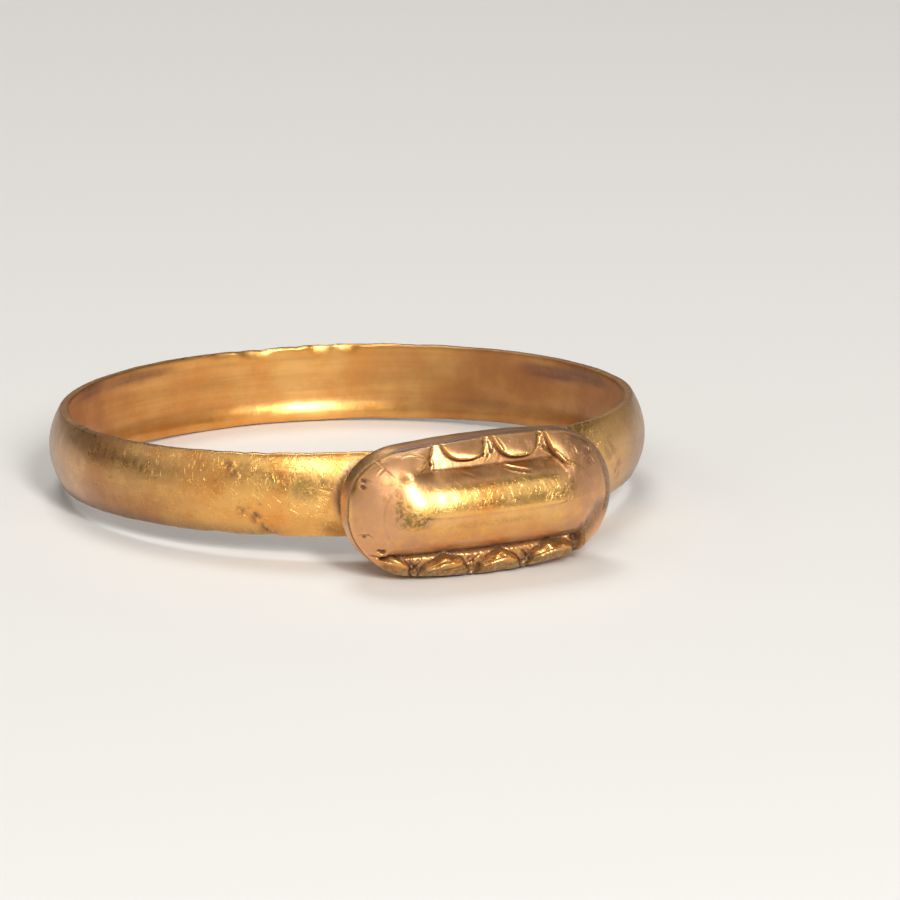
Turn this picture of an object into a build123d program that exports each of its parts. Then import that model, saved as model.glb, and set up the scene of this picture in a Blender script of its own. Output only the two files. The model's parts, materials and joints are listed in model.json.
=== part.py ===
from build123d import *
from collections import namedtuple
from math import atan2, cos, degrees, radians, sin, sqrt
import os

# A gold finger ring: a thin D-section hoop that carries a long oval bezel.
# The bezel is a thick bent plate with a cushion top. A round-topped loaf runs along it,
# and a row of lobes stands on each side of the loaf, left between chased channels.
# Hoop and bezel are soldered and worked into one piece of metal, so this is one solid.
# Sizes are in millimetres. The ring is made round +Z, with its bezel facing -Y, and is
# laid down on its side at the end.

# Hoop
finger_bore = 18.0
crown_wall = 0.67
edge_wall = 0.20
band_width_front = 2.70
band_width_side = 2.46
band_width_back = 2.64
hoop_edge_round = 0.06

# Bezel plate and cushion
bezel_length = 8.80
bezel_width = 4.34
bezel_side_radius = 22.0
bezel_stand_off = 1.98
bezel_bend_radius = 18.8
bezel_skew = 0.9
plate_wall = 0.66
cushion_rise = 1.00
cushion_edge_rise = 0.42
cushion_round = 0.80
plate_back_round = 0.10

# Base between the plate and the hoop
base_top_inset = 0.22
base_foot_length = 7.0
base_foot_width = 2.6

# Chased relief
loaf_radius = 1.31
loaf_rise = 1.22
loaf_length = 7.1
relief_depth = 0.28
channel_width = 0.17
lobe_round = 0.34
trough_inner_width = 1.9
trough_end_round = 0.20

# Each trough runs beside the loaf. Its ends are shares of half the bezel's length.
Trough = namedtuple("Trough", "side start end")
troughs = [
    Trough(side=1, start=-0.70, end=0.76),
    Trough(side=-1, start=-0.77, end=0.77),
]

# Each lobe lies between two channels. Start and end are the middles of those channels, as
# shares of half the bezel's length, and the inner edge is a share of half its width.
Lobe = namedtuple("Lobe", "side start end inner_edge")
lobes = [
    Lobe(side=1, start=-0.86, end=-0.34, inner_edge=0.60),
    Lobe(side=1, start=-0.34, end=0.05, inner_edge=0.70),
    Lobe(side=1, start=0.05, end=0.47, inner_edge=0.67),
    Lobe(side=1, start=0.47, end=0.90, inner_edge=0.64),
    Lobe(side=-1, start=-0.92, end=-0.48, inner_edge=0.65),
    Lobe(side=-1, start=-0.48, end=-0.07, inner_edge=0.68),
    Lobe(side=-1, start=-0.07, end=0.33, inner_edge=0.70),
    Lobe(side=-1, start=0.33, end=0.75, inner_edge=0.66),
]

# Sizes that follow
bore_radius = finger_bore / 2
crown_radius = bore_radius + crown_wall
edge_radius = bore_radius + edge_wall
band_width_widest = max(band_width_front, band_width_side, band_width_back)
half_length = bezel_length / 2
half_width = bezel_width / 2
rim_radius = crown_radius + bezel_stand_off
past = 1.0
arch_past = 0.2

# The bezel's plane is tangent to the middle of its rim: x runs along the bezel, y across
# it and z outwards. The bezel is bent lengthwise round an axis behind the finger.
skew = radians(bezel_skew)
rim_plane = Plane(origin=(0, -rim_radius, 0), x_dir=(cos(skew), 0, sin(skew)), z_dir=(0, -1, 0))
bend_axis = Axis(rim_plane.from_local_coords((0, 0, -bezel_bend_radius)), rim_plane.y_dir)


def across(turn):
    """The plane across the bezel at an angle along its bend: x across and y outwards."""
    outwards = rim_plane.z_dir * cos(turn) + rim_plane.x_dir * sin(turn)
    along = rim_plane.x_dir * cos(turn) - rim_plane.z_dir * sin(turn)
    rim_point = bend_axis.position + outwards * bezel_bend_radius
    return Plane(origin=rim_point, x_dir=rim_plane.y_dir, z_dir=along)


def oval(length, width, side_radius):
    """The bezel's outline: two long bowed sides and two round ends, each an arc."""
    a, b = length / 2, width / 2
    end_radius = (2 * side_radius * b - a**2 - b**2) / (2 * (side_radius - a))
    lean = atan2(a - end_radius, side_radius - b)
    joint_x = side_radius * sin(lean)
    joint_y = b - side_radius + side_radius * cos(lean)
    with BuildSketch() as outline:
        with BuildLine():
            ThreePointArc((-joint_x, joint_y), (0, b), (joint_x, joint_y))
            ThreePointArc((joint_x, joint_y), (a, 0), (joint_x, -joint_y))
            ThreePointArc((joint_x, -joint_y), (0, -b), (-joint_x, -joint_y))
            ThreePointArc((-joint_x, -joint_y), (-a, 0), (-joint_x, joint_y))
        make_face()
    return outline.sketch


def box_between(x0, x1, y0, y1, corner_round):
    """A rectangle between two corners, with its two corners nearest y = 0 rounded."""
    with BuildSketch() as area:
        with Locations(((x0 + x1) / 2, (y0 + y1) / 2)):
            Rectangle(abs(x1 - x0), abs(y1 - y0))
        near = area.vertices().sort_by(lambda v: abs(v.Y))[:2]
        fillet(near, min(corner_round, 0.45 * abs(x1 - x0), 0.9 * abs(y1 - y0)))
    return area.sketch


def arched_section(lowered):
    """The cushion's cross-section: flat below, arched above, wider than the bezel."""
    sagitta = cushion_rise - cushion_edge_rise
    arch_radius = (half_width**2 + sagitta**2) / (2 * sagitta)
    reach = half_width + arch_past
    crest = cushion_rise - lowered
    foot = crest - arch_radius + sqrt(arch_radius**2 - reach**2)
    with BuildSketch() as section:
        with BuildLine():
            ThreePointArc((-reach, foot), (0, crest), (reach, foot))
            Polyline((reach, foot), (reach, -plate_wall), (-reach, -plate_wall), (-reach, foot))
        make_face()
    return section.sketch


bezel_outline = oval(bezel_length, bezel_width, bezel_side_radius)

# The hoop is a D-section turned round the finger, flat inside and domed outside. Seen from
# the side, its two edges are long arcs: it is narrower beside the finger than at the front.
with BuildPart() as hoop:
    with BuildSketch(Plane.XZ):
        with BuildLine():
            half = band_width_widest / 2
            Line((bore_radius, -half), (bore_radius, half))
            Line((bore_radius, half), (edge_radius, half))
            ThreePointArc((edge_radius, half), (crown_radius, 0), (edge_radius, -half))
            Line((edge_radius, -half), (bore_radius, -half))
        make_face()
    revolve(axis=Axis.Z)
    with BuildSketch(Plane.YZ):
        with BuildLine():
            front, back = -crown_radius, crown_radius
            top = ThreePointArc(
                (front, band_width_front / 2), (0, band_width_side / 2), (back, band_width_back / 2)
            )
            bottom = ThreePointArc(
                (front, -band_width_front / 2), (0, -band_width_side / 2), (back, -band_width_back / 2)
            )
            Line(top @ 0, bottom @ 0)
            Line(top @ 1, bottom @ 1)
        make_face()
    extrude(amount=crown_radius + past, both=True, mode=Mode.INTERSECT)
    edge_faces = hoop.faces().sort_by(Axis.Z)[0] + hoop.faces().sort_by(Axis.Z)[-1]
    fillet(edge_faces.edges(), min(hoop_edge_round, 0.4 * edge_wall))

# Plate and cushion are one bent bar with an arched top, cut to the oval outline. The top
# edge is rounded over all the way round.
with BuildPart() as cushion:
    with BuildSketch(across(0)):
        add(arched_section(0))
    revolve(axis=bend_axis)
    with BuildSketch(rim_plane):
        add(bezel_outline)
    extrude(amount=half_length, both=True, mode=Mode.INTERSECT)
    cushion_top = cushion.faces().sort_by(Axis.Y)[0]
    fillet(cushion_top.edges(), min(cushion_round, 0.8 * (plate_wall + cushion_edge_rise)))
    plate_back = cushion.faces().sort_by(Axis.Y)[-1]
    fillet(plate_back.edges(), min(plate_back_round, 0.4 * plate_wall))

# The troughs and channels are cut down to a floor that follows the cushion's top. What is
# left of the cushion between the channels is a row of lobes on each side.
chasing_plane = rim_plane.offset(-plate_wall)
chasing_height = plate_wall + cushion_rise + past
with BuildPart() as chasing:
    for trough in troughs:
        trough_area = box_between(
            trough.start * half_length,
            trough.end * half_length,
            trough.side * trough_inner_width / 2,
            trough.side * (half_width + past),
            trough_end_round,
        )
        with BuildSketch(chasing_plane):
            add(trough_area)
        extrude(amount=chasing_height)
    for lobe in lobes:
        lobe_area = box_between(
            lobe.start * half_length + channel_width / 2,
            lobe.end * half_length - channel_width / 2,
            lobe.side * lobe.inner_edge * half_width,
            lobe.side * (half_width + 2 * past),
            lobe_round,
        )
        with BuildSketch(chasing_plane):
            add(lobe_area)
        extrude(amount=chasing_height, mode=Mode.SUBTRACT)
    with BuildSketch(across(0)):
        add(arched_section(relief_depth))
    revolve(axis=bend_axis, mode=Mode.SUBTRACT)

# The loaf is a bent round bar with round ends, sunk in the cushion to below its widest line.
loaf_depth = loaf_rise - loaf_radius
loaf_turn = (loaf_length / 2 - loaf_radius) / (bezel_bend_radius + loaf_depth)
loaf_ends = [across(turn).from_local_coords((0, loaf_depth, 0)) for turn in (-loaf_turn, loaf_turn)]
with BuildPart() as loaf:
    with BuildSketch(across(-loaf_turn)):
        with Locations((0, loaf_depth)):
            Circle(loaf_radius)
    revolve(axis=bend_axis, revolution_arc=degrees(2 * loaf_turn))
    with Locations(loaf_ends):
        Sphere(loaf_radius)

# The base is what joins the plate to the hoop. It narrows from just inside the plate's
# outline to a foot inside the hoop's wall.
with BuildPart() as base:
    with BuildSketch(rim_plane.offset(-plate_wall / 2)):
        add(bezel_outline)
        offset(amount=-base_top_inset, mode=Mode.REPLACE)
    with BuildSketch(rim_plane.offset(bore_radius - crown_wall - rim_radius)):
        add(oval(base_foot_length, base_foot_width, bezel_side_radius))
    loft()

# All of it is one piece of gold. The finger's opening is cut last, through hoop and base.
with BuildPart() as ring:
    add(cushion.part)
    add(chasing.part, mode=Mode.SUBTRACT)
    add(base.part)
    add(loaf.part)
    add(hoop.part)
    Cylinder(bore_radius, 2 * bezel_width, mode=Mode.SUBTRACT)

# The bezel is wider than the hoop, so the ring lies on the lower back edge of the plate and
# on the far side of the hoop, tilted by what the bezel stands out below the hoop. The
# origin is then on the surface, below the middle of the ring's box.
overhang = (bezel_width - band_width_back) / 2
rest_tilt = atan2(overhang, rim_radius - plate_wall + edge_radius)
tilted_box = ring.part.rotate(Axis.X, -degrees(rest_tilt)).bounding_box()
bore_centre = Vector(-tilted_box.center().X, -tilted_box.center().Y, -tilted_box.min.Z)
with BuildPart() as finger_ring:
    with Locations(Location(bore_centre, (-degrees(rest_tilt), 0, 0))):
        add(ring.part)

print("finger's opening: middle", bore_centre, "axis", Vector(0, sin(rest_tilt), cos(rest_tilt)))
print("rest tilt in degrees", degrees(rest_tilt))
os.makedirs("parts", exist_ok=True)
finger_ring.part.label = "finger_ring"
export_step(finger_ring.part, "parts/finger_ring.step")
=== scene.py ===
# %% [markdown]
# A worn gold finger ring, made from one closed mesh and one metal.
# The hoop is a thin band, flat inside and domed outside. It carries a long oval bezel: a
# thick bent plate with a cushion top, a round-topped loaf along it, and a row of chased
# lobes on each side of the loaf.
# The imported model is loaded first. It fixes where the ring lies, and nothing here moves it.

# %% Load the frame
import json
from collections import namedtuple
from math import atan2, cos, pi, radians, sin, sqrt

import bmesh
import bpy
import numpy as np
from mathutils import Matrix, Vector


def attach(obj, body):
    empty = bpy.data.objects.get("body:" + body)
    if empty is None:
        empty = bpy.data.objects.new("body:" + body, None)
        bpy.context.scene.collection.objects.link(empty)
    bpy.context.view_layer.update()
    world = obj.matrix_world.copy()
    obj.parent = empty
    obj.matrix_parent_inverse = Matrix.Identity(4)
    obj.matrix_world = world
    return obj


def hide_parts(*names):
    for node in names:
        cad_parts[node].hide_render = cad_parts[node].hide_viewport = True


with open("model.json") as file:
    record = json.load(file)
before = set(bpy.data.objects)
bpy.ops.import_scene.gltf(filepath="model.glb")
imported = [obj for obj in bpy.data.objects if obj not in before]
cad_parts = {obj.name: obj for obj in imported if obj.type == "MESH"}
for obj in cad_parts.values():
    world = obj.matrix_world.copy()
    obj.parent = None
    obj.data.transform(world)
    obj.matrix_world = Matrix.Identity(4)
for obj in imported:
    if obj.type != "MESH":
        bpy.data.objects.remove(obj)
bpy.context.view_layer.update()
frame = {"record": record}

# %% [markdown]
# The ring is easiest to describe round its own middle: +Z along the finger, -Y towards the
# bezel, +X along the bezel, in millimetres. On the table it lies slightly tilted, because
# the bezel is wider than the hoop. The finger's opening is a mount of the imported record, so
# its middle and its axis give the way from the ring's own frame to the table.

# %% The ring's own frame
MM = 0.001
opening = next(m for m in frame["record"]["mounts"] if m["name"] == "finger_bore")
opening_middle = Vector(opening["pos_m"])
opening_axis = Vector(opening["axis"])
rest_tilt = atan2(opening_axis.y, opening_axis.z)
ring_to_table = Matrix.Translation(opening_middle) @ Matrix.Rotation(-rest_tilt, 4, "X") @ Matrix.Scale(MM, 4)
bore_radius = opening["dims"]["r_mm"]
print("bore radius", bore_radius, "mm, tilt", round(rest_tilt * 180 / pi, 2), "degrees")


def direction(azimuth, elevation):
    """A unit vector from the ring. Azimuth 0 is in front of the bezel, and + turns to +X."""
    a, e = radians(azimuth), radians(elevation)
    return Vector((sin(a) * cos(e), -cos(a) * cos(e), sin(e)))


# %% [markdown]
# The camera stands left of the bezel and a little above the hoop, 180 mm away, with a long
# lens, as for a catalogue picture of a small jewel. It is placed in the ring's own frame and
# then carried to the table with it. It is turned, not shifted, so that the finger's opening
# falls left of the picture's middle.

# %% Camera
view_azimuth, view_elevation, view_roll = -20.63, 11.57, 1.5
view_distance = 180.0
picture_width_at_ring = 29.24
middle_right_of_opening, middle_below_opening = 3.34, 0.49

towards_camera = direction(view_azimuth, view_elevation)
level_right = Vector((0, 0, 1)).cross(towards_camera).normalized()
level_up = towards_camera.cross(level_right)
roll = radians(view_roll)
right = level_right * cos(roll) - level_up * sin(roll)
up = level_up * cos(roll) + level_right * sin(roll)
stand_point = towards_camera * view_distance
aim_point = right * middle_right_of_opening - up * middle_below_opening

backwards = (stand_point - aim_point).normalized()
camera_right = up.cross(backwards).normalized()
camera_up = backwards.cross(camera_right)
turn = Matrix((camera_right, camera_up, backwards)).transposed().to_4x4()
placed = Matrix.Translation(stand_point) @ turn
table_turn = ring_to_table.to_3x3().normalized() @ placed.to_3x3()

lens = bpy.data.cameras.new("jewel_lens")
lens.sensor_width = 36
lens.lens = lens.sensor_width * view_distance / picture_width_at_ring
lens.clip_start = 0.01
lens.clip_end = 5
camera = bpy.data.objects.new("camera", lens)
camera.matrix_world = Matrix.Translation(ring_to_table @ stand_point) @ table_turn.to_4x4()
bpy.context.collection.objects.link(camera)
bpy.context.scene.camera = camera
print("camera stands at", [round(v, 4) for v in camera.location], "lens", round(lens.lens, 1), "mm")

# %% [markdown]
# Hand-worked metal is never quite even. Three small helpers give that: a soft step from one
# value to another, a maximum with a rounded crease instead of a sharp one, and a smooth
# random swell made of a few sine waves with seeded directions, so each run is the same.

# %% Small tools for shapes
def step(low, high, value):
    """0 up to low, 1 from high on and a smooth rise between. Low may be the larger of them."""
    t = np.clip((value - low) / (high - low), 0, 1)
    return t * t * (3 - 2 * t)


def soft_max(a, b, blend):
    """The larger of two heights, with the crease between them filled over a width."""
    return (a + b + np.sqrt((a - b) ** 2 + blend**2)) / 2


def swell(points, wavelength, seed, waves=14):
    """A smooth random field over points, mostly within -1 and 1."""
    rng = np.random.default_rng(seed)
    heading = rng.normal(size=(waves, points.shape[1]))
    heading /= np.linalg.norm(heading, axis=1, keepdims=True)
    heading *= 2 * pi / wavelength * rng.uniform(0.7, 1.3, (waves, 1))
    phase = rng.uniform(0, 2 * pi, waves)
    return np.sin(points @ heading.T + phase).sum(axis=1) / sqrt(waves)


def closed_mesh(name, points, quads, triangles=()):
    """A mesh object from arrays of points in the ring's frame and corner numbers."""
    mesh = bpy.data.meshes.new(name)
    faces = [tuple(int(i) for i in face) for face in quads] + [tuple(face) for face in triangles]
    mesh.from_pydata([tuple(p) for p in points], [], faces)
    mesh.update()
    piece = bpy.data.objects.new(name, mesh)
    bpy.context.collection.objects.link(piece)
    return piece


def wrapped_quads(loops, around):
    """Quads between closed loops that follow each other, with points numbered loop by loop."""
    here = np.arange(around)
    there = (here + 1) % around
    strips = [np.stack([k * around + here, k * around + there,
                        (k + 1) * around + there, (k + 1) * around + here], 1) for k in range(loops - 1)]
    return np.concatenate(strips)


# %% [markdown]
# The hoop is a strip of gold with a D-section: flat where it touches the finger, domed
# outside, with thin worn edges. It could be a curve with a bevel, but the real band changes
# width on its way round and its edges are nicked. So each step round the finger gets a
# section of its own: an inner face, two small corner arcs at each edge, and the dome.

# %% Sizes of the hoop, in millimetres
crown_wall = 0.67
edge_wall = 0.20
band_width_front, band_width_side, band_width_back = 2.70, 2.46, 2.64
worn_corner = 0.07
hoop_steps, inner_points, corner_points, dome_points = 640, 15, 4, 23

crown_radius = bore_radius + crown_wall
band_half_widest = max(band_width_front, band_width_back) / 2
dome_radius = (band_half_widest**2 + (crown_wall - edge_wall) ** 2) / (2 * (crown_wall - edge_wall))
dome_middle = crown_radius - dome_radius
print("hoop: crown radius", crown_radius, "mm, dome radius", round(dome_radius, 2), "mm")

# %% Where the hoop's edges run
# Angles go round the finger from the bezel, positive towards +X, in degrees.
Nick = namedtuple("Nick", "angle side width depth")
nicks = [
    Nick(angle=169.2, side=1, width=0.9, depth=0.045),
    Nick(angle=177.5, side=1, width=2.2, depth=0.05),
    Nick(angle=-178.0, side=1, width=1.6, depth=0.04),
    Nick(angle=163.0, side=1, width=1.2, depth=0.03),
    Nick(angle=-41.0, side=1, width=1.0, depth=0.03),
    Nick(angle=-36.5, side=1, width=1.4, depth=0.035),
    Nick(angle=-35.7, side=-1, width=1.2, depth=0.05),
    Nick(angle=-47.0, side=-1, width=1.8, depth=0.03),
    Nick(angle=58.0, side=1, width=1.3, depth=0.03),
    Nick(angle=112.0, side=-1, width=2.0, depth=0.04),
]
shoulder_bulge, shoulder_bulge_angle, shoulder_bulge_width = 0.14, 33.0, 12.0
print(len(nicks), "nicks in the hoop's edges")

# The top edge is worn lower on one stretch. It drops within a degree, and it comes back up
# from a share of the stretch's length on.
worn_stretch, worn_stretch_drop = (169.2, 205.0), 0.035
worn_stretch_entry, worn_stretch_return = 0.8, 0.3

# Wear also takes long shallow waves and a short fray off both edges: depth and wavelength.
edge_wave, edge_wave_length = 0.016, 3.1
edge_fray, edge_fray_length = 0.008, 0.7


def turn_between(angle, middle):
    """How far an angle lies from another, in degrees, the short way round."""
    return (angle - middle + 180) % 360 - 180


def edge_height(angle, side):
    """How far an edge of the hoop lies from its middle line, on the +Z or the -Z side."""
    y = -np.cos(np.radians(angle))
    mean = (band_width_front + band_width_back) / 4
    height = band_width_side / 2 + (band_width_back - band_width_front) / 4 * y
    height = height + (mean - band_width_side / 2) * y**2
    circle = np.stack([np.cos(np.radians(angle)), np.sin(np.radians(angle))], 1) * crown_radius
    height = height - edge_wave * np.abs(swell(circle, edge_wave_length, seed=21 + side))
    height = height - edge_fray * np.abs(swell(circle, edge_fray_length, seed=31 + side))
    for nick in nicks:
        if nick.side == side:
            height = height - nick.depth * np.exp(-((turn_between(angle, nick.angle) / nick.width) ** 2))
    if side > 0:
        into_stretch = turn_between(angle, worn_stretch[0]) % 360
        length = worn_stretch[1] - worn_stretch[0]
        returned = step(worn_stretch_return * length, length, into_stretch)
        height = height - worn_stretch_drop * step(0, worn_stretch_entry, into_stretch) * (1 - returned)
    else:
        bulge = np.exp(-((turn_between(angle, shoulder_bulge_angle) / shoulder_bulge_width) ** 2))
        height = height + shoulder_bulge * bulge
    return height


# %% Dents in the hoop's outside
# Each has its angle, its height on the band and its width along and across, in millimetres.
Dent = namedtuple("Dent", "angle height along across depth")
dents = [
    Dent(angle=-38.0, height=0.29, along=0.16, across=0.05, depth=0.018),
    Dent(angle=-37.3, height=-0.21, along=0.14, across=0.05, depth=0.018),
    Dent(angle=-53.6, height=-0.33, along=0.16, across=0.12, depth=0.015),
    Dent(angle=-60.5, height=-0.16, along=0.08, across=0.12, depth=0.012),
    Dent(angle=-44.3, height=0.93, along=0.18, across=0.13, depth=0.017),
    Dent(angle=-41.3, height=0.95, along=0.09, across=0.20, depth=0.021),
    Dent(angle=-40.2, height=0.76, along=0.12, across=0.10, depth=0.017),
    Dent(angle=-43.2, height=0.62, along=0.22, across=0.09, depth=0.015),
    Dent(angle=-36.8, height=0.72, along=0.14, across=0.07, depth=0.013),
    Dent(angle=-45.4, height=0.26, along=0.22, across=0.16, depth=0.011),
    Dent(angle=-40.6, height=-0.43, along=0.18, across=0.12, depth=0.012),
    Dent(angle=-30.3, height=0.45, along=0.35, across=0.22, depth=0.010),
    Dent(angle=-27.3, height=0.12, along=0.28, across=0.24, depth=0.010),
    Dent(angle=38.0, height=0.50, along=0.20, across=0.12, depth=0.015),
    Dent(angle=41.5, height=-0.35, along=0.16, across=0.18, depth=0.013),
    Dent(angle=36.0, height=-0.05, along=0.10, across=0.10, depth=0.018),
    Dent(angle=33.2, height=0.30, along=0.10, across=0.08, depth=0.018),
    Dent(angle=62.0, height=0.10, along=0.30, across=0.30, depth=0.010),
    Dent(angle=104.0, height=-0.30, along=0.35, across=0.22, depth=0.012),
    Dent(angle=143.0, height=0.40, along=0.20, across=0.15, depth=0.012),
    Dent(angle=-118.0, height=0.20, along=0.25, across=0.25, depth=0.011),
    Dent(angle=-151.0, height=-0.35, along=0.22, across=0.16, depth=0.012),
]
print(len(dents), "dents in the hoop's outside")

# A short seam crease runs down the hoop's left shoulder, from one angle and height to
# another. It wanders a little from side to side on its way.
seam_top, seam_bottom = (-38.4, -0.52), (-35.4, -1.30)
seam_width, seam_depth = 0.045, 0.045
seam_wander, seam_bends = 0.05, 9

# Hammering left the outside uneven: its mean depth, then the size and length of the swells.
hammered_depth, hammer_swell, hammer_length = 0.012, 0.007, 2.4
dimple_swell, dimple_length = 0.0025, 0.8


def seam_distance(angle, height):
    """Distance in millimetres from the short seam crease low on the hoop's left shoulder."""
    along = np.radians(turn_between(angle, seam_top[0])) * crown_radius
    reach = radians(seam_bottom[0] - seam_top[0]) * crown_radius
    drop = seam_bottom[1] - seam_top[1]
    share = np.clip((along * reach + (height - seam_top[1]) * drop) / (reach**2 + drop**2), 0, 1)
    wander = seam_wander * np.sin(seam_bends * share)
    return np.hypot(along - share * reach - wander, height - seam_top[1] - share * drop)


def outside_hollows(angle, height):
    """How deep the outside lies below its plain dome: swells, dents and the seam."""
    around = np.radians(angle) * crown_radius
    band = np.stack([np.cos(np.radians(angle)) * crown_radius, np.sin(np.radians(angle)) * crown_radius,
                     height], 1)
    hollow = hammered_depth + hammer_swell * swell(band, hammer_length, seed=41)
    hollow = hollow + dimple_swell * swell(band, dimple_length, seed=42)
    for dent in dents:
        along = np.radians(turn_between(angle, dent.angle)) * crown_radius
        spot = (along / dent.along) ** 2 + ((height - dent.height) / dent.across) ** 2
        hollow = hollow + dent.depth * np.exp(-spot)
    return hollow + seam_depth * np.exp(-((seam_distance(angle, height) / seam_width) ** 2))


# %% The inside of the hoop
# The strip was domed by hammering, so its inside is slightly hollow. Its top edge is worn to
# short slanting flats at the back. Each flat has its angle and half its length, in degrees.
inner_hollow = 0.105
lower_rise = (0.50, 0.84)
flat_begins_below, flat_full_below = 0.30, 0.05
inside_streak, inside_streak_length = 0.004, 1.6
WornFlat = namedtuple("WornFlat", "angle reach depth")
worn_flats = [
    WornFlat(angle=178.6, reach=3.6, depth=0.100),
    WornFlat(angle=164.6, reach=2.5, depth=0.100),
    WornFlat(angle=159.0, reach=2.2, depth=0.095),
    WornFlat(angle=186.5, reach=2.6, depth=0.040),
    WornFlat(angle=150.0, reach=3.0, depth=0.035),
]
print(len(worn_flats), "worn flats, inside hollow by up to", inner_hollow, "mm")


def inside_hollows(angle, height, top):
    """How far the inside lies behind the plain bore."""
    share = np.clip(np.abs(height) / (top - worn_corner), 0, 1)
    hollow = inner_hollow * np.where(height < 0, 1 - step(*lower_rise, share), 1 - share**3)
    for flat in worn_flats:
        here = np.exp(-((turn_between(angle, flat.angle) / flat.reach) ** 4))
        hollow = hollow + flat.depth * here * step(top - flat_begins_below, top - flat_full_below, height)
    return hollow


# %% The hoop's sections
def corner_arc(edge, side, inner):
    """Points of one worn corner, from the inner face to the edge or from the edge to the dome."""
    share = np.linspace(0, 1, corner_points)[:, None]
    arc_height = edge - worn_corner
    if inner:
        turned = share * pi / 2
        radius = bore_radius + worn_corner * (1 - np.cos(turned)) + 0 * edge
        height = arc_height + worn_corner * np.sin(turned)
    else:
        arc_radius = dome_middle + np.sqrt((dome_radius - worn_corner) ** 2 - arc_height**2)
        turned = share * np.arctan2(arc_radius - dome_middle, arc_height)
        radius = arc_radius + worn_corner * np.sin(turned)
        height = arc_height + worn_corner * np.cos(turned)
    return radius, side * height


hoop_angle = np.linspace(-180, 180, hoop_steps, endpoint=False)
upper, lower = edge_height(hoop_angle, 1), edge_height(hoop_angle, -1)
inner_share = np.linspace(-1, 1, inner_points + 2)[1:-1, None]
inner_height = inner_share * (upper + lower - 2 * worn_corner) / 2 + (upper - lower) / 2
inner_radius = np.full_like(inner_height, bore_radius)
upper_dome = np.arcsin((upper - worn_corner) / (dome_radius - worn_corner))
lower_dome = np.arcsin((lower - worn_corner) / (dome_radius - worn_corner))
dome_share = np.linspace(0, 1, dome_points + 2)[1:-1, None]
dome_turn = upper_dome - dome_share * (upper_dome + lower_dome)
dome_height = dome_radius * np.sin(dome_turn)
dome_points_radius = dome_middle + dome_radius * np.cos(dome_turn)

rows = [(inner_radius, inner_height)]
rows.append(corner_arc(upper, 1, inner=True))
rows.append(corner_arc(upper, 1, inner=False))
rows.append((dome_points_radius, dome_height))
rows.append(tuple(part[::-1] for part in corner_arc(lower, -1, inner=False)))
rows.append(tuple(part[::-1] for part in corner_arc(lower, -1, inner=True)))
section_radius = np.concatenate([r for r, _ in rows])
section_height = np.concatenate([h for _, h in rows])
section_points = len(section_radius)

grid_angle = np.tile(hoop_angle, (section_points, 1))
outward_share = step(bore_radius + 0.08, bore_radius + edge_wall, section_radius)
hollow = outside_hollows(grid_angle.ravel(), section_height.ravel()).reshape(section_radius.shape)
section_radius = section_radius - outward_share * hollow

# Inside, long shallow streaks run round the finger, so their pattern is squeezed in height.
streak_places = np.stack([section_height.ravel() * 3, grid_angle.ravel() / 9], 1)
inside_wave = inside_streak * (1 + swell(streak_places, inside_streak_length, seed=51))
inside_hollow = inside_hollows(grid_angle, section_height, upper) + inside_wave.reshape(section_radius.shape)
section_radius = section_radius + (1 - outward_share) * inside_hollow
hoop_x = section_radius * np.sin(np.radians(grid_angle))
hoop_y = -section_radius * np.cos(np.radians(grid_angle))
hoop_array = np.stack([hoop_x, hoop_y, section_height], 2)

# Loops follow the steps round the finger, so the array is turned to (step, point).
hoop_array = hoop_array.transpose(1, 0, 2).reshape(-1, 3)
hoop_quads = wrapped_quads(hoop_steps + 1, section_points) % (hoop_steps * section_points)
hoop = closed_mesh("hoop", hoop_array, hoop_quads)
print("hoop:", len(hoop.data.polygons), "quads, width at the back",
      round(float(upper[0] + lower[0]), 3), "mm")

# %% [markdown]
# The bezel is where the work is. Seen from the front it is a four-centred oval, with two
# bowed sides and two round ends. Rings of points run from a short line along its middle out
# to that oval, so the mesh follows the rim everywhere and is finest where the chasing is.
# A sculpted or displaced plane would waste points on the smooth crest and starve the rim.

# %% Sizes of the bezel, in millimetres
bezel_length, bezel_width = 8.80, 4.34
bezel_side_radius = 22.0
bezel_stand_off = 1.98
bezel_bend_radius = 18.8
bezel_skew = 0.9
plate_wall = 0.66
half_length, half_width = bezel_length / 2, bezel_width / 2
rim_radius = crown_radius + bezel_stand_off

skew = radians(bezel_skew)
along_bezel = np.array((cos(skew), 0, sin(skew)))
across_bezel = np.array((-sin(skew), 0, cos(skew)))
outwards = np.array((0, -1, 0))
rim_middle = outwards * rim_radius


def bent(x):
    """How far the bent plate falls back from its middle, at a distance along it."""
    return np.sqrt(bezel_bend_radius**2 - x**2) - bezel_bend_radius


def on_bezel(x, y, height):
    """Points in the ring's frame from places on the bezel: along, across and outwards."""
    out = bent(x) + height
    return rim_middle + x[:, None] * along_bezel + y[:, None] * across_bezel + out[:, None] * outwards


# %% The oval outline
# One quarter is an arc of the bowed side and then an arc of the round end.
outline_quarter = 174
end_radius = (2 * bezel_side_radius * half_width - half_length**2 - half_width**2) / (
    2 * (bezel_side_radius - half_length))
end_middle = half_length - end_radius
side_turn = atan2(end_middle, bezel_side_radius - half_width)
side_run = bezel_side_radius * side_turn
end_run = end_radius * (pi / 2 - side_turn)

run = np.linspace(0, side_run + end_run, outline_quarter + 1)
facing = np.where(run < side_run, run / bezel_side_radius, side_turn + (run - side_run) / end_radius)
on_side = run < side_run
side_x, side_y = bezel_side_radius * np.sin(facing), half_width - bezel_side_radius * (1 - np.cos(facing))
end_x, end_y = end_middle + end_radius * np.sin(facing), end_radius * np.cos(facing)
quarter_x, quarter_y = np.where(on_side, side_x, end_x), np.where(on_side, side_y, end_y)


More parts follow.
